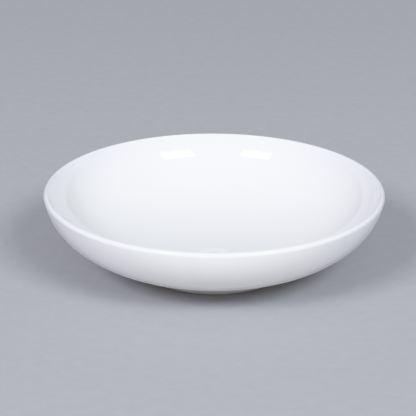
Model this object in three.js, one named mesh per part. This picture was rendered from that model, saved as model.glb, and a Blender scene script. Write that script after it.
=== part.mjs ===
// Coupe bowl of glazed porcelain: a wide hollow, a wall in one sweep and a low foot ring.
// Millimetres, +Z up, origin on the axis in the plane that the foot stands on.
import * as THREE from "three";

// Sizes of the finished bowl, over the glaze
const RIM_DIAMETER = 210;
const HEIGHT = 51;
const LIP_OUTSIDE = 2; // radius of the wide arc on the outside of the lip
const LIP_INSIDE = 1.1; // radius of the small arc on the inside of the lip
const WALL_THICKNESS = 4.2; // at the shoulder, where the wall turns into the floor
const FLOOR_THICKNESS = 4.8; // in the middle, from the bare well to the glazed hollow
const WALL_LEAN = 12.4; // degrees that the wall leans outwards below the lip
const BELLY_RISE = 14; // degrees that the belly climbs where it leaves the foot
const BELLY_FULLNESS = 0.696; // 0 is a straight belly, 1 follows the tangents at its ends
const POOL_DIAMETER = 19; // level spot in the middle of the floor, where the glaze ran together
const FLOOR_RISE = 1.3; // degrees that the floor climbs where it leaves the level spot
const SHOULDER = 0.5; // share of the belly's curve at which the wall turns into the floor

// Sizes of the foot ring, without glaze
const FOOT_DIAMETER = 93;
const FOOT_HEIGHT = 5.5; // to the line in which the belly's sweep would meet the ring's side
const FOOT_WIDTH = 4.6; // of the ring, at the standing face
const FOOT_DRAFT = 8; // degrees that each side of the ring tapers
const FOOT_EDGE = 0.9; // reach of the rounding on each standing edge
const FOOT_FILLET = 2; // reach of the fillet between the foot and the belly
const WELL_DEPTH = 3.4;
const WELL_FILLET = 1.8; // reach of the fillet round the well

// Sizes of the glaze
const GLAZE_THICKNESS = 0.25;
const GLAZE_GAP = 0.02; // hairline that keeps the solids of the glaze and of the body apart
const BARE_EDGE = 1.3; // height of the band at the bottom of the foot that is wiped free of glaze

// Steps along each curve of the outline, and round the bowl
const BELLY_STEPS = 10;
const LIP_STEPS = 4; // in each of its two arcs
const FLOOR_STEPS = 6;
const CORNER_STEPS = 3;
const TURN_STEPS = 56;

// The outline lies in a plane, where x is the radius and y the height.
// A face lies at a depth under the glazed surface: 0 is the glaze itself.
const BODY_DEPTH = GLAZE_THICKNESS;
const GLAZE_BACK_DEPTH = GLAZE_THICKNESS - GLAZE_GAP;

const point = (radius, height) => new THREE.Vector2(radius, height);
const direction = (degrees) => point(1, 0).rotateAround(point(0, 0), THREE.MathUtils.degToRad(degrees));
const along = (start, way, distance) => start.clone().addScaledVector(way, distance);
const atHeight = (start, way, height) => along(start, way, (height - start.y) / way.y);
const rightOf = (way) => point(way.y, -way.x);

const OUTWARDS = direction(0);
const UP = direction(90);
const UP_THE_WALL = direction(90 - WALL_LEAN);
const UP_THE_BELLY = direction(BELLY_RISE);
const UP_THE_FLOOR = direction(FLOOR_RISE);
const UP_THE_FOOT = direction(90 - FOOT_DRAFT);
const DOWN_THE_WELL = direction(FOOT_DRAFT - 90);

const lipTop = point(RIM_DIAMETER / 2 - LIP_OUTSIDE, HEIGHT);
const lipOutside = along(lipTop, UP, -LIP_OUTSIDE);
const lipInside = along(lipTop, UP, -LIP_INSIDE);
const ringOutside = point(FOOT_DIAMETER / 2, 0);
const ringInside = along(ringOutside, OUTWARDS, -FOOT_WIDTH);

/** Point where two lines cross, each given by a point and a direction. */
function crossing(first, firstWay, second, secondWay) {
  const reach = second.clone().sub(first).cross(secondWay) / firstWay.cross(secondWay);
  return along(first, firstWay, reach);
}

/** Points of the rounding between two lines that meet in a corner. */
function rounded(corner, wayIn, wayOut, reach) {
  const start = along(corner, wayIn, -reach);
  const end = along(corner, wayOut, reach);
  return new THREE.QuadraticBezierCurve(start, corner, end).getPoints(CORNER_STEPS);
}

/** Corner in which the foot's outer side meets the belly. */
function footCorner(depth) {
  const ringSide = along(ringOutside, rightOf(UP_THE_FOOT), GLAZE_THICKNESS - depth);
  const bellyStart = atHeight(ringOutside, UP_THE_FOOT, FOOT_HEIGHT);
  const bellyFace = along(bellyStart, rightOf(UP_THE_BELLY), -depth);
  return crossing(ringSide, UP_THE_FOOT, bellyFace, UP_THE_BELLY);
}

/** Glazed outside of the wall, from the fillet over the foot up to the lip, in one curve. */
function bellyCurve() {
  const start = along(footCorner(0), UP_THE_BELLY, FOOT_FILLET);
  const end = along(lipOutside, rightOf(UP_THE_WALL), LIP_OUTSIDE);
  const corner = crossing(start, UP_THE_BELLY, end, UP_THE_WALL);
  const startHandle = start.clone().lerp(corner, BELLY_FULLNESS);
  const endHandle = end.clone().lerp(corner, BELLY_FULLNESS);
  return new THREE.CubicBezierCurve(start, startHandle, endHandle, end);
}
const belly = bellyCurve();

/** Point at a share of the belly's curve, a depth inside it. */
const underBelly = (share, depth) => along(belly.getPoint(share), rightOf(belly.getTangent(share)), -depth);

/** Thickness of the glazed wall between the shoulder and the lip, whose two arcs it runs into. */
function wallThickness(share) {
  const lipThickness = LIP_OUTSIDE + LIP_INSIDE + (LIP_OUTSIDE - LIP_INSIDE) * UP_THE_WALL.x;
  const rise = THREE.MathUtils.smoothstep(share, SHOULDER, 1);
  return THREE.MathUtils.lerp(WALL_THICKNESS, lipThickness, rise);
}

/** Points of an arc about a centre, between two directions. */
function arc(centre, radius, start, end) {
  const curve = new THREE.EllipseCurve(centre.x, centre.y, radius, radius, start.angle(), end.angle());
  return curve.getPoints(LIP_STEPS);
}

/** Lip from the outside of the wall over its top to the inside. */
function lip(depth) {
  const outside = arc(lipOutside, LIP_OUTSIDE - depth, rightOf(UP_THE_WALL), UP);
  const inside = arc(lipInside, LIP_INSIDE - depth, UP, rightOf(UP_THE_WALL).negate());
  return [...outside, ...inside.slice(1)];
}

/** Sweep of the hollow from the shoulder down to the level spot in the middle. */
function floorCurve(depth) {
  const shoulder = underBelly(SHOULDER, WALL_THICKNESS - depth);
  const poolEdge = point(POOL_DIAMETER / 2, WELL_DEPTH + FLOOR_THICKNESS - depth);
  const corner = crossing(shoulder, belly.getTangent(SHOULDER), poolEdge, UP_THE_FLOOR);
  return new THREE.QuadraticBezierCurve(shoulder, corner, poolEdge);
}

/** Outline from the bare band on the foot over the belly, the lip and the hollow to the axis. */
function bowlFace(depth) {
  const corner = footCorner(depth);
  const outside = [];
  const inside = [];
  for (let step = 1; step < BELLY_STEPS; step++) {
    const share = step / BELLY_STEPS;
    outside.push(underBelly(share, depth));
    if (share > SHOULDER) inside.unshift(underBelly(share, wallThickness(share) - depth));
  }
  const floor = floorCurve(depth).getPoints(FLOOR_STEPS);
  return [
    atHeight(corner, UP_THE_FOOT, BARE_EDGE),
    ...rounded(corner, UP_THE_FOOT, UP_THE_BELLY, FOOT_FILLET),
    ...outside,
    ...lip(depth),
    ...inside,
    ...floor,
    point(0, floor.at(-1).y),
  ];
}

/** Outline of the well under the floor, from the axis to the bare band inside the foot ring. */
function wellFace(depth) {
  const middle = point(0, WELL_DEPTH - GLAZE_THICKNESS + depth);
  const ringSide = along(ringInside, rightOf(DOWN_THE_WELL), GLAZE_THICKNESS - depth);
  const corner = crossing(middle, OUTWARDS, ringSide, DOWN_THE_WELL);
  return [
    middle,
    ...rounded(corner, OUTWARDS, DOWN_THE_WELL, WELL_FILLET),
    atHeight(corner, DOWN_THE_WELL, BARE_EDGE),
  ];
}

/** Outline of the foot's standing face, with its two rounded edges. */
function standingFace() {
  return [
    ...rounded(ringInside, DOWN_THE_WELL, OUTWARDS, FOOT_EDGE),
    ...rounded(ringOutside, OUTWARDS, UP_THE_FOOT, FOOT_EDGE),
  ];
}

/** Solid of revolution of an outline that starts and ends on the axis, or closes on itself. */
function turned(name, outline, material) {
  const geometry = new THREE.LatheGeometry(outline, TURN_STEPS).rotateX(Math.PI / 2);
  const mesh = new THREE.Mesh(geometry, material);
  mesh.name = name;
  return mesh;
}

const porcelain = new THREE.MeshStandardMaterial({ color: 0xe9e3d8, roughness: 0.8, metalness: 0 });
const coatGlaze = new THREE.MeshStandardMaterial({ color: 0xf3f4f6, roughness: 0.08, metalness: 0 });
const wellGlaze = new THREE.MeshStandardMaterial({ color: 0xf1f2f4, roughness: 0.12, metalness: 0 });

const bodyOutline = [...wellFace(BODY_DEPTH), ...standingFace(), ...bowlFace(BODY_DEPTH)];
const coatOutline = [...bowlFace(GLAZE_BACK_DEPTH).reverse(), ...bowlFace(0)];
const wellOutline = [...wellFace(0), ...wellFace(GLAZE_BACK_DEPTH).reverse()];

const coupeBowl = new THREE.Group();
coupeBowl.add(
  turned("porcelain_body", bodyOutline, porcelain),
  turned("glaze_coat", coatOutline, coatGlaze),
  turned("foot_well_glaze", wellOutline, wellGlaze),
);
export default coupeBowl;
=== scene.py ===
"""Looks of a white glazed coupe bowl: surfaces, finishes, floor, light and camera."""
from math import cos, exp, pi, radians, sin

import bmesh
import bpy
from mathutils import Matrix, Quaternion, Vector


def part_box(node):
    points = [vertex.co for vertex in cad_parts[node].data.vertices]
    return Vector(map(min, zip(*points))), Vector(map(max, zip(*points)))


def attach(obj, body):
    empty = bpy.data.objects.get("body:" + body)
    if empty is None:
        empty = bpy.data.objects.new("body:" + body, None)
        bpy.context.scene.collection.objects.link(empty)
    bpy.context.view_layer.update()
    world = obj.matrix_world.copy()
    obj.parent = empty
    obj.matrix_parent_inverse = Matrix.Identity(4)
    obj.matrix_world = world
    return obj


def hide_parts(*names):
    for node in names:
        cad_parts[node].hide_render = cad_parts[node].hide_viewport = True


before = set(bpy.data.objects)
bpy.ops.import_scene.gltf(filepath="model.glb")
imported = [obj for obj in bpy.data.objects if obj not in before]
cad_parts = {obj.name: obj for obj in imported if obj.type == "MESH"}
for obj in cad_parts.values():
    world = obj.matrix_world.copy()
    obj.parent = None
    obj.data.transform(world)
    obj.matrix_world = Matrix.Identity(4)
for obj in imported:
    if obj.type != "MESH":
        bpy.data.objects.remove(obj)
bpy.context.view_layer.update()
scene = bpy.context.scene

MM = 0.001

# Sizes that the frame gives: rim, height, the well's depth and the bare band on the foot
coat_low, coat_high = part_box("glaze_coat")
well_low, well_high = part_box("foot_well_glaze")
RIM_RADIUS = coat_high.x
HEIGHT = coat_high.z
BARE_EDGE = coat_low.z

# Sizes of the finished bowl, over the glaze
LIP_OUTSIDE = 2 * MM
LIP_INSIDE = 1.1 * MM
WALL_THICKNESS = 3.9 * MM  # at the shoulder, where the wall turns into the floor
FLOOR_THICKNESS = 4.8 * MM
WALL_LEAN = 12.4  # degrees that the wall leans outwards below the lip
BELLY_RISE = 14  # degrees that the belly climbs where it leaves the foot
BELLY_FULLNESS = 0.696  # 0 is a straight belly, 1 follows the tangents at its ends
SHOULDER = 0.5  # share of the belly's curve at which the wall turns into the floor
POOL_RADIUS = 7.4 * MM  # level spot in the middle of the floor
POOL_ROUNDING = 0.8 * MM  # ring over which the shading turns level
DIMPLE_RADIUS = 4.6 * MM
DIMPLE_DEPTH = 0.14 * MM
FLOOR_RISE = 1.3  # degrees that the floor climbs where it leaves the level spot

# Sizes of the foot ring, without glaze
FOOT_RADIUS = 46.5 * MM
FOOT_HEIGHT = 6 * MM
FOOT_WIDTH = 4.6 * MM
FOOT_DRAFT = 8  # degrees that each side of the ring tapers
FOOT_EDGE = 0.9 * MM
FOOT_FILLET = 2 * MM
WELL_FILLET = 1.8 * MM

# Glaze, with the hairline that keeps its back off the body
GLAZE_THICKNESS = 0.25 * MM
GLAZE_GAP = 0.02 * MM
WELL_DEPTH = well_high.z + GLAZE_GAP

# Steps along each curve of the outline, and round the bowl
BELLY_STEPS = 44
LIP_STEPS = 10
FLOOR_STEPS = 30
CORNER_STEPS = 8
DIMPLE_STEPS = 8
TURN_STEPS = 256


# Outlines lie in a plane, where x is the radius and y the height
def direction(degrees):
    return Vector((cos(radians(degrees)), sin(radians(degrees))))


def right_of(way):
    return Vector((way.y, -way.x))


OUTWARDS = direction(0)
UP_THE_WALL = direction(90 - WALL_LEAN)
UP_THE_BELLY = direction(BELLY_RISE)
UP_THE_FLOOR = direction(FLOOR_RISE)
UP_THE_FOOT = direction(90 - FOOT_DRAFT)
DOWN_THE_WELL = direction(FOOT_DRAFT - 90)

lip_top = Vector((RIM_RADIUS - LIP_OUTSIDE, HEIGHT))
lip_outside = lip_top - Vector((0, LIP_OUTSIDE))
lip_inside = lip_top - Vector((0, LIP_INSIDE))
LIP_THICKNESS = LIP_OUTSIDE + LIP_INSIDE + (LIP_OUTSIDE - LIP_INSIDE) * sin(radians(WALL_LEAN))
ring_outside = Vector((FOOT_RADIUS, 0))
ring_inside = Vector((FOOT_RADIUS - FOOT_WIDTH, 0))


def at_height(start, way, height):
    return start + way * ((height - start.y) / way.y)


def crossing(first, first_way, second, second_way):
    """Point where two lines cross, each given by a point and a direction."""
    reach = (second - first).cross(second_way) / first_way.cross(second_way)
    return first + first_way * reach


def on_curve(handles, share):
    """Point and direction at a share of a Bezier curve."""
    points = list(handles)
    while len(points) > 2:
        points = [a.lerp(b, share) for a, b in zip(points, points[1:])]
    return points[0].lerp(points[1], share), (points[1] - points[0]).normalized()


def curve_points(handles, steps):
    return [on_curve(handles, step / steps)[0] for step in range(steps + 1)]


def rounded(corner, way_in, way_out, reach):
    """Points of the rounding between two lines that meet in a corner."""
    return curve_points((corner - way_in * reach, corner, corner + way_out * reach), CORNER_STEPS)


def foot_corner(depth):
    """Corner in which the foot's outer side meets the belly, on the face a depth under the glaze."""
    ring_side = ring_outside + right_of(UP_THE_FOOT) * (GLAZE_THICKNESS - depth)
    belly_start = at_height(ring_outside, UP_THE_FOOT, FOOT_HEIGHT)
    belly_face = belly_start - right_of(UP_THE_BELLY) * depth
    return crossing(ring_side, UP_THE_FOOT, belly_face, UP_THE_BELLY)


def belly_handles():
    """Bezier curve of the glazed outside, from the fillet over the foot up to the lip."""
    start = foot_corner(0) + UP_THE_BELLY * FOOT_FILLET
    end = lip_outside + right_of(UP_THE_WALL) * LIP_OUTSIDE
    corner = crossing(start, UP_THE_BELLY, end, UP_THE_WALL)
    return start, start.lerp(corner, BELLY_FULLNESS), end.lerp(corner, BELLY_FULLNESS), end


belly = belly_handles()


def under_belly(share, depth):
    point, way = on_curve(belly, share)
    return point - right_of(way) * depth


def wall_thickness(share):
    """Thickness of the glazed wall, which thins smoothly from the shoulder to the lip."""
    rise = (share - SHOULDER) / (1 - SHOULDER)
    ease = rise * rise * (3 - 2 * rise)
    return WALL_THICKNESS + (LIP_THICKNESS - WALL_THICKNESS) * ease


def arc(centre, radius, start, end):
    shares = [step / LIP_STEPS for step in range(LIP_STEPS + 1)]
    return [centre + direction(start + (end - start) * share) * radius for share in shares]


def lip_points(depth):
    """Lip, in a wide arc on the outside and a small one on the inside."""
    outside = arc(lip_outside, LIP_OUTSIDE - depth, -WALL_LEAN, 90)
    inside = arc(lip_inside, LIP_INSIDE - depth, 90, 180 - WALL_LEAN)
    return outside + inside[1:]


def pool_points(level):
    """Level spot in the middle of the hollow, where the glaze ran together, and the dimple in it."""
    shares = [step / DIMPLE_STEPS for step in range(DIMPLE_STEPS, -1, -1)]
    dips = [DIMPLE_DEPTH * (1 - share * share) ** 2 for share in shares]
    dimple = [Vector((DIMPLE_RADIUS * share, level - dip)) for share, dip in zip(shares, dips)]
    return [Vector((POOL_RADIUS - POOL_ROUNDING, level)), *dimple]


def floor_points(depth):
    """Sweep of the hollow from the shoulder to the middle."""
    shoulder = under_belly(SHOULDER, WALL_THICKNESS - depth)
    pool_edge = Vector((POOL_RADIUS, WELL_DEPTH + FLOOR_THICKNESS - depth))
    corner = crossing(shoulder, on_curve(belly, SHOULDER)[1], pool_edge, UP_THE_FLOOR)
    sweep = curve_points((shoulder, corner, pool_edge), FLOOR_STEPS)
    return [*sweep, *pool_points(pool_edge.y)]


def bowl_face(depth):
    """Outline from the bare band on the foot over the belly, the lip and the hollow to the axis."""
    corner = foot_corner(depth)
    shares = [step / BELLY_STEPS for step in range(1, BELLY_STEPS)]
    upper = [share for share in reversed(shares) if share > SHOULDER]
    return [
        at_height(corner, UP_THE_FOOT, BARE_EDGE),
        *rounded(corner, UP_THE_FOOT, UP_THE_BELLY, FOOT_FILLET),
        *[under_belly(share, depth) for share in shares],
        *lip_points(depth),
        *[under_belly(share, wall_thickness(share) - depth) for share in upper],
        *floor_points(depth),
    ]


def well_face(depth):
    """Outline of the well under the floor, from the axis to the bare band inside the foot ring."""
    middle = Vector((0, WELL_DEPTH - GLAZE_THICKNESS + depth))
    ring_side = ring_inside + right_of(DOWN_THE_WELL) * (GLAZE_THICKNESS - depth)
    corner = crossing(middle, OUTWARDS, ring_side, DOWN_THE_WELL)
    return [
        middle,
        *rounded(corner, OUTWARDS, DOWN_THE_WELL, WELL_FILLET),
        at_height(corner, DOWN_THE_WELL, BARE_EDGE),
    ]


def standing_face():
    """Outline of the foot's bare standing face, with its two rounded edges."""
    return [
        *rounded(ring_inside, DOWN_THE_WELL, OUTWARDS, FOOT_EDGE),
        *rounded(ring_outside, OUTWARDS, UP_THE_FOOT, FOOT_EDGE),
    ]


WELD_DISTANCE = 0.0005 * MM
SHARP_ANGLE = 40


def turned(name, outline, material):
    """Smooth solid of revolution of an outline that starts and ends on the axis."""
    shape = bmesh.new()
    points = [shape.verts.new((point.x, 0, point.y)) for point in outline]
    lines = [shape.edges.new(pair) for pair in zip(points, points[1:])]
    bmesh.ops.spin(
        shape,
        geom=points + lines,
        cent=(0, 0, 0),
        axis=(0, 0, 1),
        angle=2 * pi,
        steps=TURN_STEPS,
        use_merge=True,
    )
    bmesh.ops.remove_doubles(shape, verts=shape.verts, dist=WELD_DISTANCE)
    bmesh.ops.recalc_face_normals(shape, faces=shape.faces)
    for face in shape.faces:
        face.smooth = True
    mesh = bpy.data.meshes.new(name)
    shape.to_mesh(mesh)
    shape.free()
    mesh.set_sharp_from_angle(angle=radians(SHARP_ANGLE))
    mesh.materials.append(material)
    piece = bpy.data.objects.new(name, mesh)
    scene.collection.objects.link(piece)
    return piece


# Finishes: tints, roughness, and the heights of the glaze's ripple and of the bare porcelain's grain
GLAZE_TINTS = ((0.845, 0.853, 0.884), (0.862, 0.868, 0.897))
GLAZE_ROUGHNESS = (0.015, 0.04)
GLAZE_IOR = 1.5
HAZE_ANGLES = (0.78, 0.95)  # 0 is seen from straight on and 1 edge on
HAZE_ROUGHNESS = (0.0, 0.35)  # added to the glaze between those angles
RIPPLE_HEIGHT = 0.002 * MM
BISQUE_TINTS = ((0.735, 0.725, 0.705), (0.80, 0.79, 0.77))
BISQUE_ROUGHNESS = 0.7
GRAIN_HEIGHT = 0.02 * MM
PAPER_TINTS = ((0.421, 0.431, 0.483), (0.447, 0.458, 0.508))
PAPER_ROUGHNESS = 0.9
PAPER_SPECULAR = 0.1
CLOUD_RANGE = (0.3, 0.7)  # values of a noise between which a tint changes
GRAIN_RANGE = (0.35, 0.65)


def new_material(name):
    """Material with a plain Principled shader, its node tree, the shader and the place on the piece."""
    material = bpy.data.materials.new(name)
    material.use_nodes = True
    tree = material.node_tree
    place = tree.nodes.new("ShaderNodeTexCoord").outputs["Object"]
    return material, tree, tree.nodes["Principled BSDF"], place


def add_node(tree, kind, inputs, **settings):
    """Node with its settings and inputs, where an input is a value or another node's output."""
    node = tree.nodes.new(kind)
    for name, value in settings.items():
        setattr(node, name, value)
    for name, value in inputs.items():
        if isinstance(value, bpy.types.NodeSocket):
            tree.links.new(value, node.inputs[name])
        else:
            node.inputs[name].default_value = value
    return node


def noise(tree, place, scale, detail, roughness=0.5):
    """Values of a cloudy pattern on the piece."""
    inputs = {"Vector": place, "Scale": scale, "Detail": detail, "Roughness": roughness}
    return add_node(tree, "ShaderNodeTexNoise", inputs).outputs["Fac"]


def tinted(tree, shader, pattern, reach, tints):
    """Gives the shader a colour between two tints, by the values of a pattern."""
    ramp = add_node(tree, "ShaderNodeValToRGB", {"Fac": pattern})
    for element, position, tint in zip(ramp.color_ramp.elements, reach, tints):
        element.position = position
        element.color = (*tint, 1)
    tree.links.new(ramp.outputs["Color"], shader.inputs["Base Color"])


def bumped(tree, shader, pattern, height):
    """Raises the surface by the values of a pattern."""
    bump = add_node(tree, "ShaderNodeBump", {"Height": pattern, "Strength": 1.0, "Distance": height})
    tree.links.new(bump.outputs["Normal"], shader.inputs["Normal"])


def remapped(tree, value, reach, result):
    """Value taken from one range to another."""
    ends = {"From Min": reach[0], "From Max": reach[1], "To Min": result[0], "To Max": result[1]}
    return add_node(tree, "ShaderNodeMapRange", {"Value": value, **ends}).outputs["Result"]


def glaze_material():
    """Clear gloss over white, with faint clouds, a slight ripple and a haze where it is seen edge on."""
    material, tree, shader, place = new_material("white_glaze")
    clouds = noise(tree, place, scale=22.0, detail=3.0)
    tinted(tree, shader, clouds, CLOUD_RANGE, GLAZE_TINTS)
    gloss = remapped(tree, clouds, CLOUD_RANGE, GLAZE_ROUGHNESS)
    facing = add_node(tree, "ShaderNodeLayerWeight", {"Blend": 0.5}).outputs["Facing"]
    haze = remapped(tree, facing, HAZE_ANGLES, HAZE_ROUGHNESS)
    spread = add_node(tree, "ShaderNodeMath", {0: gloss, 1: haze}, operation="ADD")
    tree.links.new(spread.outputs["Value"], shader.inputs["Roughness"])
    bumped(tree, shader, noise(tree, place, scale=260.0, detail=1.0), RIPPLE_HEIGHT)
    shader.inputs["IOR"].default_value = GLAZE_IOR
    return material


def bisque_material():
    """Bare fired porcelain, matte with a fine grain."""
    material, tree, shader, place = new_material("bare_porcelain")
    grain = noise(tree, place, scale=1400.0, detail=4.0)
    tinted(tree, shader, grain, GRAIN_RANGE, BISQUE_TINTS)
    bumped(tree, shader, grain, GRAIN_HEIGHT)
    shader.inputs["Roughness"].default_value = BISQUE_ROUGHNESS
    return material


def floor_material():
    """Grey paper with faint fibres."""
    material, tree, shader, place = new_material("floor_paper")
    fibres = noise(tree, place, scale=130.0, detail=5.0, roughness=0.6)
    tinted(tree, shader, fibres, CLOUD_RANGE, PAPER_TINTS)
    shader.inputs["Roughness"].default_value = PAPER_ROUGHNESS
    shader.inputs["Specular IOR Level"].default_value = PAPER_SPECULAR
    return material


# Pieces of the bowl
glaze = glaze_material()
bisque = bisque_material()
BODY_DEPTH = GLAZE_THICKNESS
GLAZE_BACK = GLAZE_THICKNESS - GLAZE_GAP

body = turned("bowl_body", well_face(BODY_DEPTH) + standing_face() + bowl_face(BODY_DEPTH), bisque)
coat = turned("bowl_glaze", bowl_face(GLAZE_BACK)[::-1] + bowl_face(0), glaze)
well = turned("well_glaze", well_face(0) + well_face(GLAZE_BACK)[::-1], glaze)

for piece, node, slot in (
    (body, "porcelain_body", "bare_porcelain"),
    (coat, "glaze_coat", "white_glaze"),
    (well, "foot_well_glaze", "white_glaze"),
):
    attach(piece, "root")
    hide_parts(node)

# Floor
FLOOR_HALF = 6.0
FLOOR_DROP = 0.05 * MM
floor_mesh = bpy.data.meshes.new("floor")
floor_shape = bmesh.new()
bmesh.ops.create_grid(floor_shape, x_segments=1, y_segments=1, size=FLOOR_HALF)
bmesh.ops.translate(floor_shape, verts=floor_shape.verts, vec=(0, 0, -FLOOR_DROP))
floor_shape.to_mesh(floor_mesh)
floor_shape.free()
floor_mesh.materials.append(floor_material())
floor = bpy.data.objects.new("floor", floor_mesh)
scene.collection.objects.link(floor)

# Light: two far soft boxes in front, weak warm bounces off the ground, and an even room light
BOX_DISTANCE = 4.0
BOUNCE_HEIGHT = 3 * MM
ROOM_LIGHT = (0.317, 0.328, 0.346)


def area_light(name, width, height, power, colour):
    data = bpy.data.lights.new(name, "AREA")
    data.shape = "RECTANGLE"
    data.size = width
    data.size_y = height
    data.energy = power
    data.color = colour
    lamp = bpy.data.objects.new(name, data)
    lamp.rotation_mode = "QUATERNION"
    scene.collection.objects.link(lamp)
    return lamp


def soft_box(name, azimuth, elevation, width, height, power, colour):
    """Soft box that faces the bowl. Azimuth 0 is the camera's side, and it grows to the right."""
    lamp = area_light(name, width, height, power, colour)
    level = cos(radians(elevation))
    way = Vector((sin(radians(azimuth)) * level, -cos(radians(azimuth)) * level, sin(radians(elevation))))
    lamp.location = way * BOX_DISTANCE
    lamp.rotation_quaternion = (-way).to_track_quat("-Z", "Y")


def ground_bounce(name, distance, width, depth, power, colour):
    """Glow of the ground before or under the belly. It lies flat and faces up, to light what overhangs."""
    lamp = area_light(name, width, depth, power, colour)
    lamp.location = (0, -distance, BOUNCE_HEIGHT)
    lamp.rotation_quaternion = Quaternion((1, 0, 0), pi)
    lamp.visible_camera = False
    lamp.visible_glossy = False


soft_box(
    "soft_box_right",
    azimuth=30.7,
    elevation=38.5,
    width=1.42,
    height=1.07,
    power=79.3,
    colour=(0.961, 1, 0.985),
)
soft_box(
    "soft_box_left",
    azimuth=-34.5,
    elevation=36.6,
    width=1.33,
    height=0.98,
    power=78,
    colour=(0.98, 0.97, 1),
)
ground_bounce("ground_bounce", distance=0.75, width=1.4, depth=0.9, power=2.9, colour=(1, 0.87, 0.35))
ground_bounce("near_bounce", distance=0.1, width=0.22, depth=0.05, power=0.005, colour=(1, 0.8, 0.62))

world = bpy.data.worlds.new("room")
world.use_nodes = True
background = world.node_tree.nodes["Background"]
background.inputs["Color"].default_value = (*ROOM_LIGHT, 1)
background.inputs["Strength"].default_value = 1
scene.world = world

# Camera, fitted to the outline of the bowl in the picture
IMAGE_PX = 416
RIM_CENTRE_PX = (214.12, 188.73)
RIM_RADIUS_PX = 170.3
CAMERA_PITCH = 20.79
CAMERA_ROLL = 0.178
CAMERA_DISTANCE = 12 * RIM_RADIUS
SENSOR_WIDTH = 36.0


def make_camera():
    data = bpy.data.cameras.new("camera")
    data.sensor_width = SENSOR_WIDTH
    data.lens = SENSOR_WIDTH / IMAGE_PX * RIM_RADIUS_PX * CAMERA_DISTANCE / RIM_RADIUS
    camera = bpy.data.objects.new("camera", data)
    sight = Vector((0, cos(radians(CAMERA_PITCH)), -sin(radians(CAMERA_PITCH))))
    right = Vector((1, 0, 0))
    up = right.cross(sight)
    pixel = RIM_RADIUS / RIM_RADIUS_PX
    rim_centre = Vector((0, 0, HEIGHT))
    across = (IMAGE_PX / 2 - RIM_CENTRE_PX[0]) * pixel
    along = (RIM_CENTRE_PX[1] - IMAGE_PX / 2) * pixel
    aim = rim_centre + right * across + up * along
    camera.location = rim_centre - sight * CAMERA_DISTANCE
    camera.rotation_mode = "QUATERNION"
    roll = Quaternion((0, 0, 1), radians(CAMERA_ROLL))
    camera.rotation_quaternion = (aim - camera.location).to_track_quat("-Z", "Y") @ roll
    scene.collection.objects.link(camera)
    scene.camera = camera


make_camera()


# Exposure: deep shadows are neutral, middle tones are lifted, and the brightest ones roll off as on film
TONE_BLACK = (0.012, 0.018, 0.035)
TONE_WHITE = 1.6
TONE_LIFT = 0.85
TONE_KNEES = (0.8, 0.8, 0.84)
TONE_STEPS = (0.02, 0.05, 0.1, 0.2, 0.3, 0.4, 0.5, 0.6, 0.7, 0.8, 0.95, 1.1, 1.3)


def developed(tone, knee):
    """Tone in the picture of a tone in the scene."""
    lifted = tone ** TONE_LIFT
    room = 1 - knee
    return min(lifted, knee) + room * (1 - exp(min(knee - lifted, 0) / room))


view = scene.view_settings
view.view_transform = "Standard"
view.use_curve_mapping = True
view.curve_mapping.black_level = TONE_BLACK
view.curve_mapping.white_level = [black + TONE_WHITE * (1 - black) for black in TONE_BLACK]
for curve, knee in zip(view.curve_mapping.curves, TONE_KNEES):
    for tone in TONE_STEPS:
        curve.points.new(tone / TONE_WHITE, developed(tone, knee))
view.curve_mapping.update()
